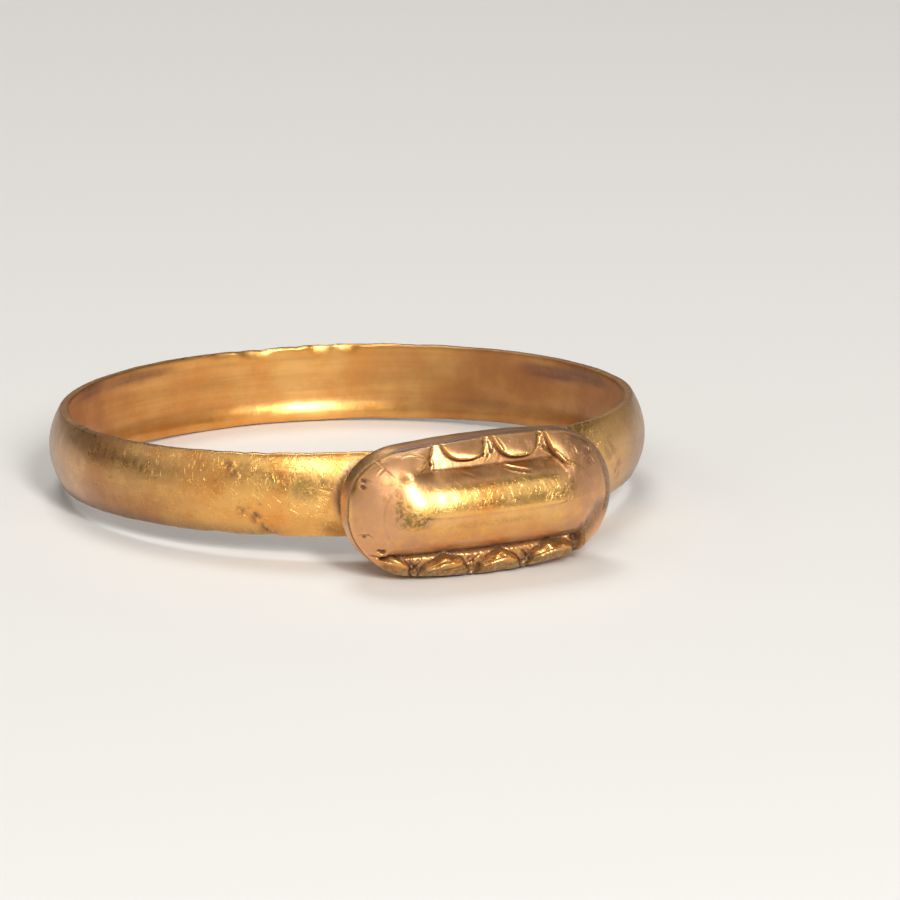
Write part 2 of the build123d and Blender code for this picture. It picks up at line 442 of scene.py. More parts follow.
def all_quarters(quarter, x_sign, y_sign):
    """A value round the whole oval from one quarter, starting at the middle of the +Z side."""
    return np.concatenate([quarter[:-1], y_sign * quarter[::-1][:-1],
                           x_sign * y_sign * quarter[:-1], x_sign * quarter[::-1][:-1]])


rim_x, rim_y = all_quarters(quarter_x, -1, 1), all_quarters(quarter_y, 1, -1)
facing_x, facing_y = all_quarters(np.sin(facing), -1, 1), all_quarters(np.cos(facing), 1, -1)
around = len(rim_x)
middle_reach = half_length - half_width
rim_share = rim_x / half_length
middle_x = middle_reach * rim_share * (1.25 - 0.25 * rim_share**2)
print("outline:", around, "points, end radius", round(end_radius, 2), "mm")


def outline_near(x, y):
    """Which way the nearest part of the outline faces, and how far inside it a place lies."""
    in_end = np.abs(x) - end_middle > np.tan(side_turn) * np.abs(y)
    arc_x = np.where(in_end, np.abs(x) - end_middle, np.abs(x))
    arc_y = np.abs(y) + np.where(in_end, 0, bezel_side_radius - half_width)
    far = np.maximum(np.hypot(arc_x, arc_y), 1e-6)
    inside = np.where(in_end, end_radius, bezel_side_radius) - far
    return np.sign(x) * arc_x / far, np.sign(y) * arc_y / far, inside


# The plate's wall leans back on the upper side, less and less towards the right, and the top
# is narrower than the plate at the left end. Everywhere it keeps a little inside the outline.
rim_set_back, most_wall_lean, most_left_inset = 0.015, 0.10, 0.12


def top_insets(facing_x, facing_y, x):
    """How far the top's rim lies inside the outline: by the wall's lean, and at the left end."""
    upwards, leftwards = step(-0.2, 0.7, facing_y), step(0.35, 0.75, -facing_x)
    wall_lean = most_wall_lean * upwards * (1 - step(-2.5, 3.0, x)) * (1 - 0.55 * leftwards)
    left_inset = most_left_inset * step(0.10, 0.80, -facing_x) * (1 - step(0.0, 0.6, facing_y))
    return rim_set_back + wall_lean, left_inset


# %% [markdown]
# The top is a height over that oval, made of four forms. The cushion swells from the rim to
# the middle. The loaf is a round bar that lies along it, with round ends that melt into the
# cushion. The troughs beside the loaf, with the channels that run from them over the rim,
# have a floor that falls gently at first and steeply at the rim. Between the channels stand
# the lobes, whose tops slope outwards: the upper ones have rolled edges, the lower ones
# flat flakes. A groove follows the loaf's lower foot and its right end. All this could be
# sculpted by hand, but a height worked out from named places can be measured and changed.

# %% The cushion, the loaf and the floor of the chasing
# Lengths are in millimetres. A share is 0 on the bezel's middle line and 1 at its rim.
cushion_rise, cushion_fullness = 1.12, 2.6
cushion_reach, cushion_drop = 0.98, 0.11
surface_swell, surface_swell_length = 0.006, 1.5
surface_ripple, surface_ripple_length = 0.0015, 0.4
loaf_radius, loaf_middle_depth, loaf_shift = 1.31, -0.125, -0.04
loaf_straight, loaf_end_fullness, loaf_merge = 2.05, 0.92, 0.13
loaf_end_merge, loaf_end_begins, loaf_end_full = 0.17, 1.8, 2.9

# The floor of the troughs, how widely it curves up to the loaf, and the lobes' slope.
floor_at_foot, floor_fall, foot_share = 0.46, 0.36, 0.56
upper_fillet, lower_fillet = 0.38, 0.03
channel_fall, channel_share, channel_turn = 0.43, 0.64, 0.16
lobe_foot_height, lobe_rim_height, lobe_foot_share = 0.79, 0.21, 0.66
lobe_slope_share, lobe_stands_over = 0.75, 0.1

# The groove along the loaf's lower foot: its distance from the loaf's middle, then how it
# rises, swings out, widens and thins towards the right end. Then the crease on that end.
deep_line_place, deep_line_width, deep_line_depth = 1.23, 0.12, 0.26
deep_line_tail, deep_line_rise = 0.16, 0.05
deep_line_growth, deep_line_swing, deep_line_flare = 0.03, 0.20, 0.09
end_crease_width, end_crease_depth = 0.07, 0.05
end_flank_inset, end_flank_inset_at_tip = 0.07, 0.30


def cushion_height(share):
    """The cushion above the rim's surface. The share is 0 on its middle line, 1 at the rim."""
    return cushion_rise * np.sqrt(1 - (cushion_reach * share) ** cushion_fullness) - cushion_drop


def loaf_height(x, y, with_ends=True):
    """The loaf's round back, and far down beyond its sides and beyond its round ends."""
    past_straight = loaf_end_fullness * np.maximum(np.abs(x) - loaf_straight, 0) * with_ends
    arch = loaf_radius**2 - (y - loaf_shift) ** 2 - past_straight**2
    return np.where(arch > 0, np.sqrt(np.maximum(arch, 0)), -1) + loaf_middle_depth


# %% The chased lobes
# Start and end are where a lobe meets the rim and reach is its inner edge, in millimetres
# from the bezel's middle. A lobe with a high squareness is a U, with a low one a V.
Lobe = namedtuple("Lobe", "side start end reach squareness")
lobes = [
    Lobe(side=1, start=-3.60, end=-1.68, reach=1.27, squareness=2.2),
    Lobe(side=1, start=-1.36, end=0.02, reach=1.51, squareness=2.5),
    Lobe(side=1, start=0.32, end=1.82, reach=1.43, squareness=2.5),
    Lobe(side=1, start=2.09, end=4.05, reach=0.98, squareness=2.6),
    Lobe(side=-1, start=-4.00, end=-2.48, reach=1.33, squareness=2.0),
    Lobe(side=-1, start=-2.22, end=-0.66, reach=1.41, squareness=1.8),
    Lobe(side=-1, start=-0.40, end=1.08, reach=1.42, squareness=1.8),
    Lobe(side=-1, start=1.36, end=2.97, reach=1.36, squareness=2.0),
]
Trough = namedtuple("Trough", "side start start_length end end_length")
troughs = [
    Trough(side=1, start=-2.55, start_length=0.90, end=3.05, end_length=0.95),
    Trough(side=-1, start=-3.60, start_length=0.35, end=3.20, end_length=0.20),
]
print(len(lobes), "lobes and", len(troughs), "troughs")

# The edge of a lobe rises in a short cliff and then a bevel, a round one on the upper side,
# wider to the left, and a flat uneven flake on the lower side. Widths are in millimetres.
lobe_cliff_width, lobe_bevel_width, lobe_cliff_share = 0.06, 0.28, 0.70
narrowest_bevel, wider_bevel = 0.45, 0.95
flake_width, flake_cliff_share, flake_unevenness = 0.16, 0.45, 0.35
lobe_foot_groove, lobe_foot_groove_width, lobe_foot_groove_out = 0.05, 0.030, 0.03
lower_outline_wander, lower_top_wander, lobe_top_ripple = 0.035, 0.045, 0.004
upper_chips, lower_chips, chip_length = 0.002, 0.015, 0.16
cut_edge_round = 0.02


def inside_lobe(lobe, x, y, rim):
    """How far points lie inside a lobe's outline, in millimetres, less than 0 outside it."""
    middle, half = (lobe.start + lobe.end) / 2, (lobe.end - lobe.start) / 2
    along, inwards = np.abs(x - middle), np.maximum(rim - lobe.side * y, 0)
    depth = np.maximum(rim - lobe.reach, 0.2)
    size = ((along / half) ** lobe.squareness + (inwards / depth) ** lobe.squareness) ** (1 / lobe.squareness)
    size = np.maximum(size, 1e-3)
    inside = np.hypot(along, inwards) * (1 / size - 1)
    inside = inside + lower_outline_wander * swell(np.stack([x, y], 1), 0.45, seed=65) * (lobe.side < 0)
    return np.where(lobe.side * y > 0, inside, -9)


# %% Strokes of the punch, scratches, pits and slots
# A stroke runs from one place to another and bows sideways in between. Its lip is the metal
# pushed up beside it. Lengths are in millimetres on the bezel, x along and y across.
Stroke = namedtuple("Stroke", "x0 y0 x1 y1 bow width depth lip")
strokes = [
    Stroke(0.45, 1.24, 1.32, 1.02, -0.03, 0.032, 0.030, 0.030),
    Stroke(1.93, 1.60, 2.52, 1.00, 0.05, 0.036, 0.035, 0.040),
    Stroke(-1.84, 1.62, -1.86, 1.30, 0.04, 0.035, 0.060, 0.010),
    Stroke(-1.97, 1.60, -2.35, 1.38, 0.04, 0.035, 0.014, 0.010),
    Stroke(-3.37, 1.66, -3.08, 1.24, 0.00, 0.025, 0.018, 0.010),
    Stroke(-3.62, 1.46, -3.36, 1.64, 0.00, 0.025, 0.018, 0.010),
    Stroke(-3.48, 1.30, -3.22, 1.52, 0.00, 0.022, 0.014, 0.008),
    Stroke(-2.69, 1.77, -2.05, 1.73, 0.06, 0.024, 0.020, 0.016),
    Stroke(2.62, 1.90, 2.80, 1.76, 0.00, 0.020, 0.015, 0.010),
    Stroke(2.88, 1.54, 2.91, 1.30, 0.00, 0.024, 0.020, 0.024),
    Stroke(3.50, 1.47, 3.53, 1.27, 0.00, 0.026, 0.020, 0.030),
    Stroke(3.45, 1.14, 3.54, 0.92, 0.00, 0.026, 0.020, 0.030),
    Stroke(3.10, 1.72, 3.30, 1.50, 0.00, 0.020, 0.012, 0.008),
    Stroke(0.44, 2.02, 0.58, 1.62, 0.02, 0.028, 0.030, 0.012),
    Stroke(0.12, 2.00, 0.16, 1.62, 0.03, 0.025, 0.025, 0.012),
    Stroke(1.95, 1.76, 1.99, 1.50, 0.00, 0.035, 0.050, 0.010),
    Stroke(-4.10, -0.56, -3.74, -0.60, 0.07, 0.030, 0.030, 0.012),
    Stroke(-3.84, 1.22, -3.70, 1.10, 0.00, 0.028, 0.030, 0.006),
    Stroke(3.12, -0.92, 3.26, -1.80, -0.03, 0.030, 0.030, 0.020),
    Stroke(-3.76, -1.20, -3.05, -1.50, 0.03, 0.035, 0.060, 0.035),
    Stroke(-1.92, -1.74, -1.02, -1.54, 0.03, 0.032, 0.045, 0.030),
    Stroke(-1.60, -1.92, -0.90, -1.74, 0.02, 0.028, 0.030, 0.022),
    Stroke(-0.36, -1.84, 0.62, -1.62, 0.03, 0.034, 0.050, 0.032),
    Stroke(-0.10, -1.66, 0.36, -1.52, 0.02, 0.026, 0.026, 0.022),
    Stroke(1.42, -1.82, 2.46, -1.52, 0.02, 0.030, 0.040, 0.028),
    Stroke(-0.30, -1.46, -0.78, -1.78, 0.02, 0.030, 0.050, 0.020),
    Stroke(-0.34, -1.84, -0.70, -1.50, 0.00, 0.028, 0.040, 0.015),
    Stroke(-1.45, -1.50, -1.98, -1.76, 0.03, 0.030, 0.045, 0.020),
    Stroke(1.05, -1.50, 1.42, -1.96, 0.02, 0.032, 0.050, 0.020),
    Stroke(1.46, -1.56, 1.14, -1.98, 0.00, 0.028, 0.040, 0.015),
    Stroke(-2.20, -1.52, -2.52, -1.86, 0.02, 0.030, 0.050, 0.020),
    Stroke(-2.56, -1.50, -2.26, -1.84, 0.00, 0.028, 0.040, 0.015),
    Stroke(-0.95, 1.16, -0.55, 1.02, 0.02, 0.030, 0.010, 0.008),
    Stroke(2.44, 0.55, 2.78, 0.30, 0.02, 0.018, 0.006, 0.004),
    Stroke(2.34, 0.46, 2.72, 0.16, 0.02, 0.018, 0.006, 0.004),
]

Pit = namedtuple("Pit", "x y width depth")
pits = [
    Pit(-3.85, 1.12, 0.065, 0.120), Pit(-3.90, 0.94, 0.065, 0.120), Pit(-3.35, 1.68, 0.045, 0.050),
    Pit(-1.80, 1.44, 0.040, 0.060), Pit(-1.90, 1.36, 0.030, 0.040), Pit(-0.10, 1.60, 0.055, 0.080),
    Pit(-0.20, 1.54, 0.030, 0.040), Pit(0.05, 1.54, 0.040, 0.050), Pit(0.22, 1.66, 0.050, 0.050),
    Pit(0.30, 1.78, 0.035, 0.040), Pit(1.90, 1.94, 0.040, 0.050), Pit(1.86, 1.66, 0.035, 0.040),
    Pit(2.90, 1.38, 0.055, 0.020), Pit(3.20, 1.12, 0.065, 0.030), Pit(3.40, 1.34, 0.060, 0.030),
    Pit(3.43, 0.98, 0.060, 0.024), Pit(3.30, 1.42, 0.040, 0.030), Pit(3.10, 1.26, 0.030, 0.020),
    Pit(-3.96, -0.57, 0.045, 0.045), Pit(-3.86, -0.50, 0.030, 0.030), Pit(-3.45, -1.06, 0.075, 0.130),
    Pit(-3.39, -1.30, 0.060, 0.100), Pit(-3.56, -1.02, 0.050, 0.080), Pit(2.96, -1.42, 0.120, 0.170),
    Pit(2.86, -1.36, 0.080, 0.100), Pit(-1.95, -1.90, 0.040, 0.040), Pit(1.25, -1.75, 0.050, 0.050),
    Pit(-0.52, -1.70, 0.045, 0.050), Pit(-2.36, -1.68, 0.050, 0.060), Pit(-1.30, 0.58, 0.018, 0.010),
    Pit(-2.60, -0.90, 0.020, 0.010), Pit(-2.95, -0.10, 0.018, 0.010), Pit(-0.30, -0.62, 0.016, 0.012),
]

# Metal pushed over the rim where a channel leaves it, and a low swelling on the first lobe.
Lip = namedtuple("Lip", "x y width height")
lips = [
    Lip(-1.52, 2.12, 0.11, 0.035), Lip(0.17, 2.15, 0.12, 0.030), Lip(1.98, 2.04, 0.09, 0.045),
    Lip(-2.35, -2.02, 0.10, 0.050), Lip(-0.53, -2.13, 0.08, 0.060), Lip(1.22, -2.12, 0.10, 0.050),
    Lip(3.14, -1.80, 0.09, 0.045), Lip(-3.32, -1.76, 0.06, 0.050), Lip(-2.64, 1.31, 0.24, 0.095),
]
print(len(strokes), "strokes,", len(pits), "pits and", len(lips), "lips")


def stroke_change(stroke, x, y):
    """The height that one stroke adds or takes away."""
    run_x, run_y = stroke.x1 - stroke.x0, stroke.y1 - stroke.y0
    length = np.hypot(run_x, run_y)
    share = ((x - stroke.x0) * run_x + (y - stroke.y0) * run_y) / length**2
    aside = ((y - stroke.y0) * run_x - (x - stroke.x0) * run_y) / length
    aside = np.abs(aside - 4 * stroke.bow * share * (1 - share))
    over = length * np.maximum(np.maximum(-share, share - 1), 0)
    distance = np.hypot(aside, over)
    taper = np.clip(1 - (2 * np.clip(share, 0, 1) - 1) ** 4, 0.25, 1)
    cut = stroke.depth * np.exp(-((distance / stroke.width) ** 2))
    raised = stroke.lip * np.exp(-(((distance - 2.1 * stroke.width) / (0.9 * stroke.width)) ** 2))
    return (raised - cut) * taper


# %% The groove round the loaf and the right end
# Both are wanted twice: here for the shape, and later to lay dirt in them.
def from_deep_line(x, y):
    """Distance across the groove that follows the loaf's lower foot and its right end."""
    from_loaf = np.hypot(y - loaf_shift, 0.80 * np.maximum(x - loaf_straight, 0))
    outward = deep_line_rise * step(0.5, 2.5, x) - deep_line_swing * step(2.7, 3.5, x)
    return from_loaf - deep_line_place + outward


def deep_line_spread(x):
    """Half the groove's width, which grows towards the right end."""
    return deep_line_width + deep_line_growth * step(0.5, 2.5, x) + deep_line_flare * step(2.7, 3.5, x)


def right_end(x, y):
    """1 along the right end's flank above the groove, 0 elsewhere, and the distance inside it."""
    facing_x, facing_y, from_outline = outline_near(x, y)
    inset = end_flank_inset + end_flank_inset_at_tip * step(0.60, 1.0, facing_x)
    return step(0.15, 0.45, facing_x) * step(-0.60, -0.25, facing_y), from_outline - inset


# %% Troughs and standing lobes
def trough_at(x, y):
    """1 over the troughs and 0 elsewhere, with a soft rise at each end."""
    trough = np.zeros_like(x)
    for cut in troughs:
        begun = step(cut.start, cut.start + cut.start_length, x)
        ended = step(cut.end - cut.end_length, cut.end, x)
        trough = np.where(np.sign(y) == cut.side, begun * (1 - ended), trough)
    return trough


def floor_height(share, deep_line):
    """The floor of troughs and channels. It falls outwards, and the groove is cut into it."""
    past_foot = soft_max(share - channel_share, 0, channel_turn)
    floor = floor_at_foot - floor_fall * (share - foot_share) - channel_fall * past_foot
    return floor - deep_line_depth * deep_line


def lobe_top_height(x, y, share, cushion, trough):
    """The lobes' tops: the cushion in front of the troughs, brought down to an outward slope."""
    outward = (share - lobe_foot_share) / (1 - lobe_foot_share)
    slope = lobe_foot_height + (lobe_rim_height - lobe_foot_height) * outward
    lowered = np.minimum(slope, cushion + lobe_stands_over) - cushion
    top = cushion + lobe_slope_share * lowered * trough
    top = top + lobe_top_ripple * swell(np.stack([x, y], 1), 0.35, seed=61) * trough
    return top + lower_top_wander * swell(np.stack([x, y * 0.6], 1), 0.8, seed=66) * trough * (y < 0)


def standing_lobes(x, y, share, rim):
    """How much of a lobe stands at each place, from 0 to 1, and the thin groove at its foot."""
    standing, groove = np.zeros_like(x), np.zeros_like(x)
    uneven_flake = flake_width * (1 + flake_unevenness * swell(x[:, None], 0.5, seed=67))
    for lobe in lobes:
        inside = inside_lobe(lobe, x, y, rim)
        cliff = np.clip(inside / lobe_cliff_width, 0, 1)
        if lobe.side > 0:
            leftwards = (lobe.start + lobe.end - 2 * x) / (lobe.end - lobe.start)
            round_width = lobe_bevel_width * (narrowest_bevel + wider_bevel * step(-0.6, 0.7, leftwards))
            bevel = 1 - (1 - np.clip(inside / round_width, 0, 1)) ** 2
            cliff_share = lobe_cliff_share
        else:
            bevel = np.clip(inside / uneven_flake, 0, 1)
            cliff_share = flake_cliff_share
        edge = cliff_share * np.sqrt(1 - (1 - cliff) ** 2) + (1 - cliff_share) * bevel
        standing = np.maximum(standing, edge)
        foot = np.exp(-(((inside + lobe_foot_groove_out) / lobe_foot_groove_width) ** 2))
        groove = np.maximum(groove, foot * step(0.55, 0.68, share))
    return standing, groove


# %% The height of the whole top
def top_height(x, y, share, rim):
    """The bezel's top above the rim's surface, at places on it."""
    lower_side = y < 0
    cushion = cushion_height(share)
    merge = loaf_merge + loaf_end_merge * step(loaf_end_begins, loaf_end_full, np.abs(x))
    body = soft_max(loaf_height(x, y), cushion, merge)
    deep_line = np.exp(-((from_deep_line(x, y) / deep_line_spread(x)) ** 2))
    trough = trough_at(x, y)
    fillet = np.where(y > 0, upper_fillet, lower_fillet)
    carved = soft_max(loaf_height(x, y, with_ends=False), floor_height(share, deep_line * lower_side), fillet)

    standing, groove = standing_lobes(x, y, share, rim)
    relief = carved + (lobe_top_height(x, y, share, cushion, trough) - carved) * standing
    relief = relief - lobe_foot_groove * groove * (1 - standing)
    cut_away = soft_max(0, body - relief, cut_edge_round)
    height = body - cut_away * trough

    chased = trough * step(0.05, 0.20, cut_away) * (1 - standing)
    chip_height = np.where(lower_side, lower_chips, upper_chips)
    chips = swell(np.stack([x, y], 1), chip_length, seed=62)
    height = height + chip_height * chips * chased * step(0.62, 0.75, share)
    for stroke in strokes:
        height = height + stroke_change(stroke, x, y)
    for pit in pits:
        far = np.hypot(x - pit.x, y - pit.y) / pit.width
        height = height - pit.depth * np.exp(-(far**4))
    tail = step(2.9, 3.1, x) * step(-0.05, -0.70, y)
    height = height - deep_line_tail * deep_line * tail * (1 - trough)
    at_right_end, from_flank = right_end(x, y)
    crease = np.exp(-((from_flank / end_crease_width) ** 2))
    height = height - end_crease_depth * crease * at_right_end
    for lip in lips:
        height = height + lip.height * np.exp(-((np.hypot(x - lip.x, y - lip.y) / lip.width) ** 2))
    height = height + surface_swell * swell(np.stack([x, y], 1), surface_swell_length, seed=63)
    return height + surface_ripple * swell(np.stack([x, y], 1), surface_ripple_length, seed=64)


# %% [markdown]
# The bezel's skin is now a stack of closed loops: rings out to the rim, a thin groove under
# the rim, the plate's wall, its rounded back edge, the base that narrows towards the hoop,
# and a hidden foot inside the hoop's wall. Rings and wall could be two meshes joined later,
# but loops with the same number of points need no joining. The first and the last loop lie
# on a line, so their points meet in pairs and are welded. That leaves one closed skin.

# %% Loops of the bezel
crown_rings, chased_rings = 11, 52
crown_share, last_share = 0.42, 0.986


def rim_at(x):
    """How far the rim lies from the bezel's middle line, at a distance along it."""
    bowed = half_width - bezel_side_radius + np.sqrt(bezel_side_radius**2 - x**2)
    rounded = np.sqrt(np.maximum(end_radius**2 - np.maximum(np.abs(x) - end_middle, 0) ** 2, 0))
    joint = bezel_side_radius * sin(side_turn)
    return np.where(np.abs(x) < joint, bowed, rounded)


wall_lean, left_end_inset = top_insets(facing_x, facing_y, rim_x)
top_inset = wall_lean + left_end_inset
top_x, top_y = rim_x - top_inset * facing_x, rim_y - top_inset * facing_y

ring_shares = np.concatenate([
    np.linspace(0, crown_share, crown_rings + 1)[:-1],
    crown_share + (last_share - crown_share) * (1 - (1 - np.linspace(0, 1, chased_rings)) ** 1.2),
])
loops = []
for share in ring_shares:
    ring_x = middle_x + share * (top_x - middle_x)
    ring_y = share * top_y
    height = top_height(ring_x, ring_y, np.full(around, share), rim_at(ring_x))
    loops.append(on_bezel(ring_x, ring_y, height))
rim_height = top_height(top_x, top_y, np.ones(around), rim_at(rim_x))

# Each loop below the rim has its inset from the outline, what the groove under the rim adds
# to it, and its height, in millimetres. The first two hang from the rim's own height, and
# the others are level round the plate. On the upper side the groove is nearly worn away.
WallLoop = namedtuple("WallLoop", "inset groove height hangs_from_rim")
wall_loops = [
    WallLoop(0.010, 0, -0.012, True), WallLoop(0.004, 0, -0.036, True),
    WallLoop(0.004, 0.008, 0.060, False), WallLoop(0.004, 0.041, 0.040, False),
    WallLoop(0.004, 0.076, 0.012, False), WallLoop(0.004, 0.041, -0.012, False),
    WallLoop(0.004, 0.006, -0.032, False), WallLoop(0.000, 0, -0.060, False),
    WallLoop(0.000, 0, -0.110, False), WallLoop(0.000, 0, -0.160, False),
    WallLoop(0.000, 0, -0.280, False), WallLoop(0.002, 0, -0.400, False),
    WallLoop(0.006, 0, -0.500, False), WallLoop(0.014, 0, -0.570, False),
    WallLoop(0.034, 0, -0.620, False), WallLoop(0.068, 0, -0.650, False),
    WallLoop(0.110, 0, -0.660, False), WallLoop(0.200, 0, -0.662, False),
    WallLoop(0.240, 0, -0.680, False),
]
groove_worn_away, wall_wave, wall_wave_length = 0.85, 0.004, 0.9
groove_left = 1 - groove_worn_away * step(0.3, 0.8, facing_y) * step(-3.2, -2.6, rim_x)
for wall in wall_loops:
    height = rim_height + wall.height if wall.hangs_from_rim else np.full(around, wall.height)
    leaning = wall_lean * np.clip((height + plate_wall) / plate_wall, 0, 1)
    leaning = leaning + left_end_inset + wall.groove * groove_left
    uneven = swell(np.stack([rim_x, rim_y, height], 1), wall_wave_length, seed=71)
    inset = leaning + wall.inset + wall_wave * (1 + uneven)
    loops.append(on_bezel(rim_x - inset * facing_x, rim_y - inset * facing_y, height))
print("plate:", len(loops), "loops, highest", round(float(rim_height.max()), 3), "mm at the rim")

# %% The base and its hidden foot
foot_length, foot_width = 6.8, 2.36
foot_radius = bore_radius + 0.15
base_shares = (0.06, 0.18, 0.30, 0.42, 0.52, 0.61, 0.70, 0.80, 1.0)
foot_shares = (0.75, 0.4, 0.0)
foot_x, foot_y = rim_x * foot_length / bezel_length, rim_y * foot_width / bezel_width
top_of_base = loops[-1]


def on_foot(share):
    """A loop of the foot, which follows the round of the hoop inside its wall."""
    x = foot_x * share + (1 - share) * middle_x * foot_length / bezel_length
    flat = x[:, None] * along_bezel + (foot_y * share)[:, None] * across_bezel
    flat[:, 1] = -np.sqrt(foot_radius**2 - flat[:, 0] ** 2)
    return flat


for share in base_shares:
    loops.append(top_of_base + share * (on_foot(1.0) - top_of_base))
for share in foot_shares:
    loops.append(on_foot(share))

bezel = closed_mesh("bezel", np.concatenate(loops), wrapped_quads(len(loops), around))
print("bezel:", len(loops), "loops,", len(bezel.data.polygons), "quads")

# %% [markdown]
# Hoop and bezel are soldered, so the visible ring is one closed skin too. A boolean union
# joins the two meshes and drops what is inside. The manifold solver is made for closed
# meshes such as these and takes a moment, where the exact one takes minutes.

# %% Weld, join and check
def weld_and_orient(piece, first_loop, last_loop, weld_within=2e-5):
    """Weld the folded first and last loops of a skin, and turn its faces outwards."""
    shape = bmesh.new()
    shape.from_mesh(piece.data)
    shape.verts.ensure_lookup_table()
    folded = [shape.verts[i] for i in (*first_loop, *last_loop)]
    bmesh.ops.remove_doubles(shape, verts=folded, dist=weld_within)
    bmesh.ops.recalc_face_normals(shape, faces=shape.faces)
    shape.to_mesh(piece.data)
    shape.free()


bezel_points = len(loops) * around
weld_and_orient(hoop, (), ())
weld_and_orient(bezel, range(around), range(bezel_points - around, bezel_points))

join = hoop.modifiers.new("solder", "BOOLEAN")
join.object, join.operation, join.solver = bezel, "UNION", "MANIFOLD"
bpy.context.view_layer.update()
joined_mesh = bpy.data.meshes.new_from_object(hoop.evaluated_get(bpy.context.evaluated_depsgraph_get()))
for part in (hoop, bezel):
    bpy.data.objects.remove(part)

shape = bmesh.new()
shape.from_mesh(joined_mesh)
bmesh.ops.dissolve_degenerate(shape, dist=1e-4, edges=shape.edges)
bmesh.ops.triangulate(shape, faces=[f for f in shape.faces if len(f.verts) > 4])
bmesh.ops.recalc_face_normals(shape, faces=shape.faces)
open_edges = sum(1 for e in shape.edges if len(e.link_faces) != 2)
volume = shape.calc_volume()
triangles = sum(len(f.verts) - 2 for f in shape.faces)
shape.to_mesh(joined_mesh)
shape.free()
ring = bpy.data.objects.new("worn_gold_ring", joined_mesh)
bpy.context.collection.objects.link(ring)
print("ring:", triangles, "triangles,", open_edges, "open edges,", round(volume, 2), "cubic millimetres")

# %% [markdown]
# Long years in the ground and on a hand leave marks that follow the shape. Dirt stays in
# hollows, edges and high places are rubbed bright, and in between lies a dull, slightly
# pink film. They could be painted on by hand, but paint stays where it is when the shape
# changes. So they are worked out here as numbers on the points of the mesh, from the shape
# itself and from a few named places, and the shader only has to mix finishes. Some of the
# numbers also paint shade and dark reflections into the colour: in the chasing's creases
# and grooves, on the bezel's walls and lower flakes, and on the hoop's ends and lower edge.

# %% Where each point lies on the ring
mesh = ring.data
count = len(mesh.vertices)


def read_points(name):
    """The places or the normals of all points, as an array."""
    values = np.empty(count * 3)
    mesh.vertices.foreach_get(name, values)
    return values.reshape(-1, 3)


points, normals = read_points("co"), read_points("normal")
edges = np.empty(len(mesh.edges) * 2, dtype=np.int32)
mesh.edges.foreach_get("vertices", edges)
edges = edges.reshape(-1, 2)

radius = np.hypot(points[:, 0], points[:, 1])
angle = np.degrees(np.arctan2(points[:, 0], -points[:, 1]))
from_back = turn_between(angle, 180)
height = points[:, 2]
from_rim = points - rim_middle
bezel_x, bezel_y = from_rim @ along_bezel, from_rim @ across_bezel
bezel_out = from_rim @ outwards - bent(np.clip(bezel_x, -half_length, half_length))

towards_finger = -(points[:, :2] * normals[:, :2]).sum(axis=1) / radius
on_the_bezel = radius > crown_radius + 0.02
on_top = on_the_bezel & (bezel_out > 0.06)
inside_face = (towards_finger > 0.5) & (radius < crown_radius)
outside = ~on_the_bezel & ~inside_face
print(count, "points,", on_the_bezel.sum(), "of them on the bezel and", inside_face.sum(), "inside the hoop")


# %% Hollows, edges and soft patches
def sagging(points, normals, rounds):
    """How far each point lies below the average of its neighbourhood, in millimetres."""
    neighbours = np.bincount(edges.ravel(), minlength=count)[:, None]
    smoothed = points
    for _ in range(rounds):
        pulled = [np.bincount(edges[:, 0], smoothed[edges[:, 1], k], count)
                  + np.bincount(edges[:, 1], smoothed[edges[:, 0], k], count) for k in range(3)]
        smoothed = np.stack(pulled, 1) / neighbours
    return ((smoothed - points) * normals).sum(axis=1)


def patch(along, across, middle, size):
    """A soft patch, 1 in its middle and 0 well outside its size."""
    far = ((along - middle[0]) / size[0]) ** 2 + ((across - middle[1]) / size[1]) ** 2
    return np.exp(-(far**2))


def stretch_of(value, rise, fall):
    """1 between a rise and a fall, 0 outside them. Each is given by its two ends."""
    return step(*rise, value) * (1 - step(*fall, value))


def tell_means(name, values):
    """Print how much of a mark the bezel and the hoop's outside have on average."""
    on_bezel, on_hoop = float(values[on_the_bezel].mean()), float(values[outside].mean())
    print(name + ": bezel", round(on_bezel, 3), "hoop", round(on_hoop, 3))


fine_sag, broad_sag = sagging(points, normals, 3), sagging(points, normals, 14)
deepest, sharpest = float(broad_sag.max()), float(-broad_sag.min())
print("hollows up to", round(deepest, 3), "mm, edges up to", round(sharpest, 3), "mm")

dirt = step(0.004, 0.045, broad_sag) + 0.8 * step(0.002, 0.012, fine_sag)
rubbed = step(0.003, 0.020, -broad_sag)

# %% [markdown]
# The chasing is what the eye reads first, and its dark lines are painted shade: in the
# crease at each lobe's foot and in the groove along the loaf's lower foot. The same
# functions that shaped the lobes and grooves say where they are, so a dark line can't slip
# off its groove. Each value below is 1 on its own part of the bezel and 0 elsewhere.

# %% Parts of the chasing
upper_side, lower_side = bezel_y > 0, bezel_y < 0
top_rim = rim_at(np.clip(bezel_x, -half_length, half_length))
beside_loaf = step(0.95, 1.10, np.abs(bezel_y)) * stretch_of(bezel_x, (-3.6, -3.2), (2.9, 3.2))

# Painted shade: lobe_line is a dark line in the crease at each lobe's foot.
lobe_line, lobe_top_share = np.zeros(count), np.zeros(count)
for lobe in lobes:
    inside = inside_lobe(lobe, bezel_x, bezel_y, top_rim)
    lobe_line = np.maximum(lobe_line, np.exp(-(((inside + 0.022) / 0.034) ** 2)))
    lobe_top_share = np.maximum(lobe_top_share, step(0.02, 0.12, inside))
lobe_line = lobe_line * beside_loaf * np.where(upper_side, step(-2.1, -1.7, bezel_x), 1)
in_channel = beside_loaf * (1 - lobe_top_share)
